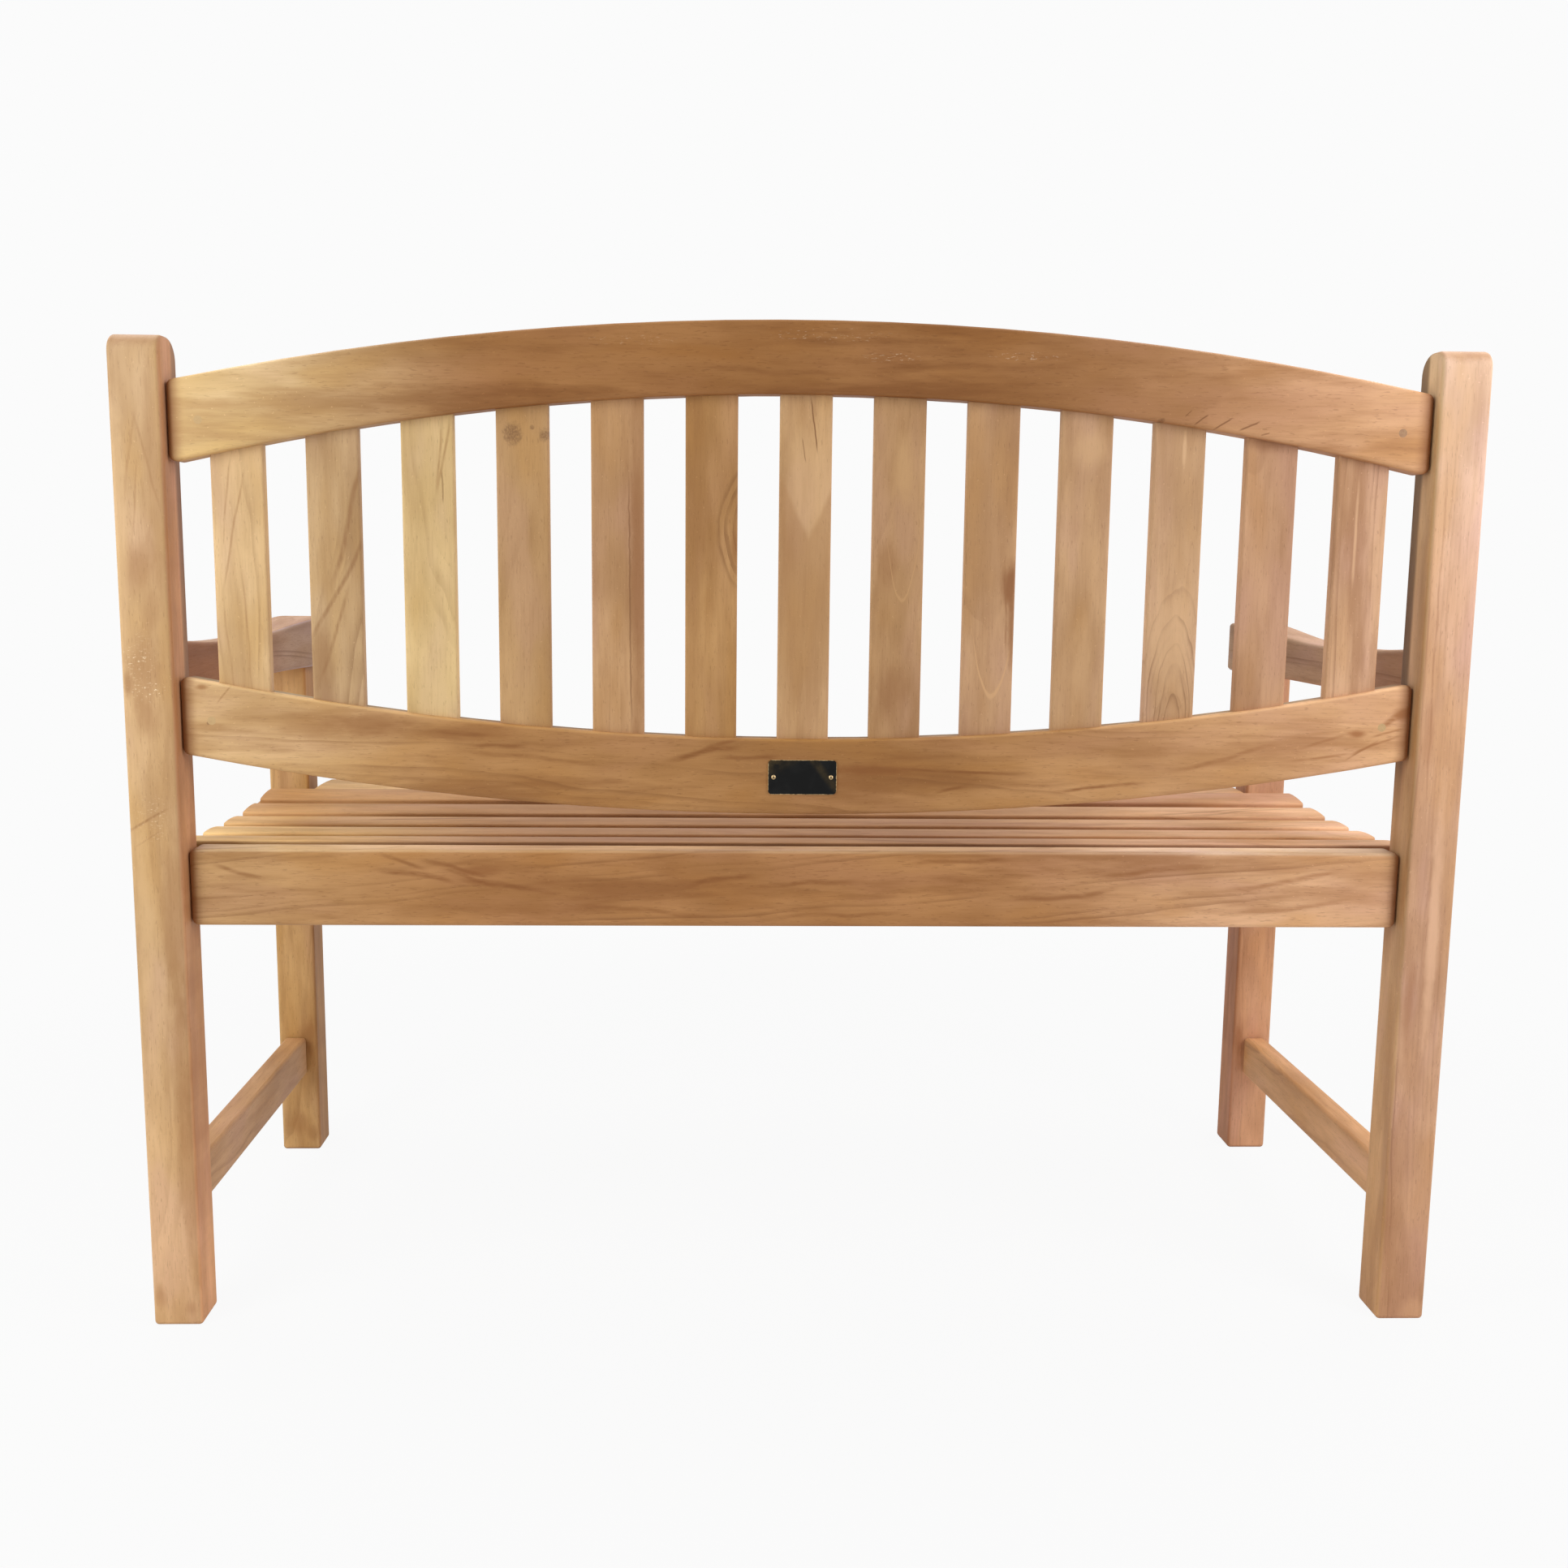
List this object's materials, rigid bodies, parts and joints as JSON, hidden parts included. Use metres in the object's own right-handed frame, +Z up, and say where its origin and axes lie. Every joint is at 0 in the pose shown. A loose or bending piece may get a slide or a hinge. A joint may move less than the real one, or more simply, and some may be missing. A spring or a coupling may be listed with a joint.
{
  "type": "garden bench",
  "caption": "Wooden garden bench with armrests, arched top rail, sagging lower back rail, upright back slats and a dished slatted seat.",
  "frame": {"origin": "on the ground under the middle of the bench's bounding box", "axes": "+X across the bench towards the sitter's left, -Y the way the sitter looks, +Z up"},
  "size_m": [1.2, 0.525, 0.9194],
  "materials": {
    "teak": "sanded, unfinished teak with a faint satin sheen",
    "peg_wood": "end grain, darker",
    "plate": "black with bare brass edges",
    "pins": "brushed, dulled",
    "screws": "plain"
  },
  "bodies": {
    "root": {"armrest_left": "teak", "armrest_right": "teak", "back_rail_pegs": "peg_wood", "back_rail_tenons": "teak", "back_slat_01": "teak", "back_slat_02": "teak", "back_slat_03": "teak", "back_slat_04": "teak", "back_slat_05": "teak", "back_slat_06": "teak", "back_slat_07": "teak", "back_slat_08": "teak", "back_slat_09": "teak", "back_slat_10": "teak", "back_slat_11": "teak", "back_slat_12": "teak", "back_slat_13": "teak", "centre_seat_bearer": "teak", "front_leg_left": "teak", "front_leg_right": "teak", "front_seat_rail": "teak", "lower_back_rail": "teak", "name_plate": "plate", "plate_pins": "pins", "rear_leg_left": "teak", "rear_leg_right": "teak", "rear_seat_rail": "teak", "seat_slat_1": "teak", "seat_slat_2": "teak", "seat_slat_3": "teak", "seat_slat_4": "teak", "seat_slat_5": "teak", "seat_slat_6": "teak", "seat_slat_screws": "screws", "side_seat_rail_left": "teak", "side_seat_rail_right": "teak", "side_stretcher_left": "teak", "side_stretcher_right": "teak", "top_back_rail": "teak"}
  },
  "joints": []
}
